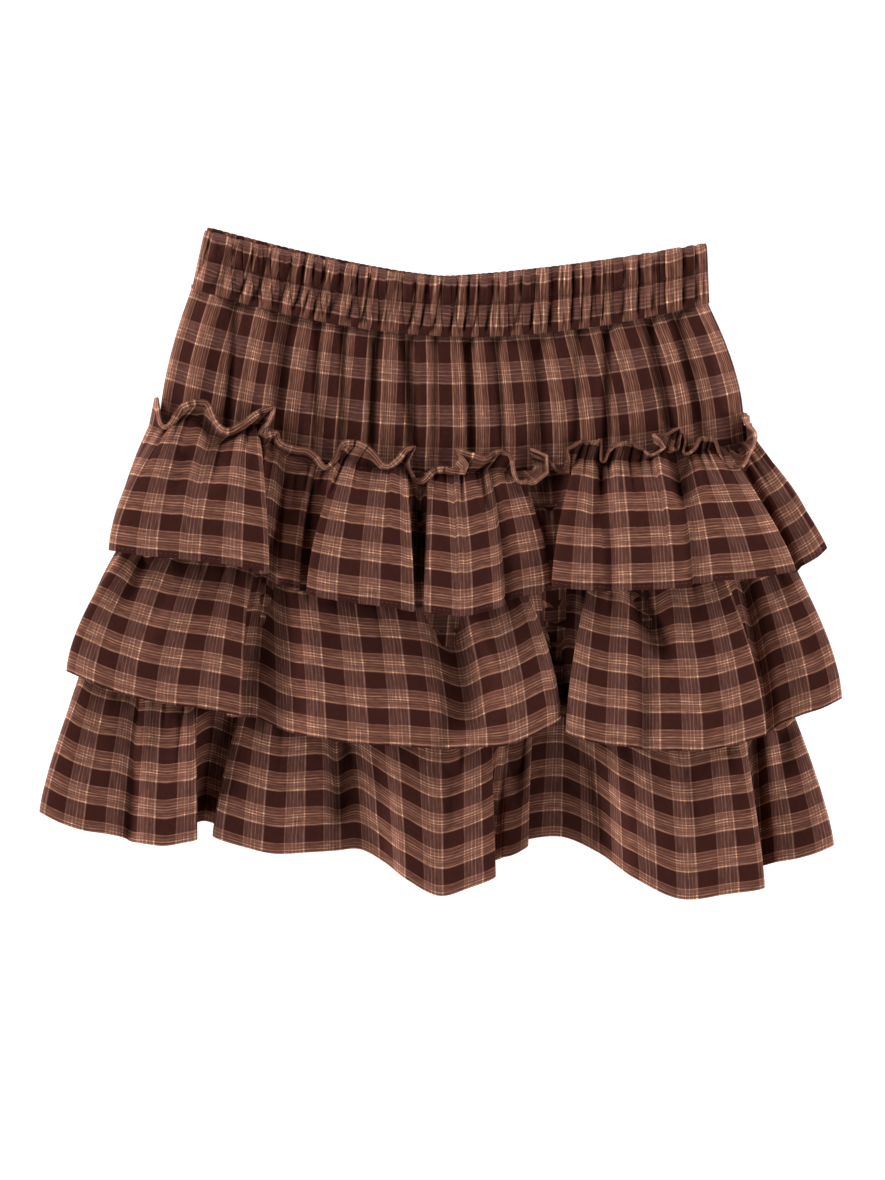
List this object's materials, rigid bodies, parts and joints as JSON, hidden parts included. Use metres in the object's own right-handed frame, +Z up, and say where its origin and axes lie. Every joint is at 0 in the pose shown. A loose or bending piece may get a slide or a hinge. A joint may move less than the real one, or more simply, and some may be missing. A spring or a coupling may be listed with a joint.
{
  "type": "tiered ruffle skirt",
  "caption": "Short pull-on plaid skirt with an elastic waist, a gathered yoke and tiers of gathered ruffles, the upper one frilled at its top, laid flat front up.",
  "frame": {"origin": "middle of the box around the laid skirt, on the surface it lies on", "axes": "+X across the skirt, to the right of a viewer who looks down on its front, +Y from the hem to the waist, +Z up from the surface, out of the front"},
  "size_m": [0.5139, 0.4228, 0.0398],
  "materials": {
    "waistband": "brushed cotton, dark brown with tan plaid",
    "yoke": "brushed cotton, dark brown with tan plaid",
    "ruffles": "brushed cotton, dark brown with tan plaid"
  },
  "bodies": {
    "root": {"waistband_front": "waistband", "waistband_back": "waistband", "body_front": "yoke", "body_back": "yoke", "ruffle_1_front": "ruffles", "ruffle_1_back": "ruffles", "ruffle_2_front": "ruffles", "ruffle_2_back": "ruffles", "ruffle_3_front": "ruffles", "ruffle_3_back": "ruffles"}
  },
  "joints": []
}
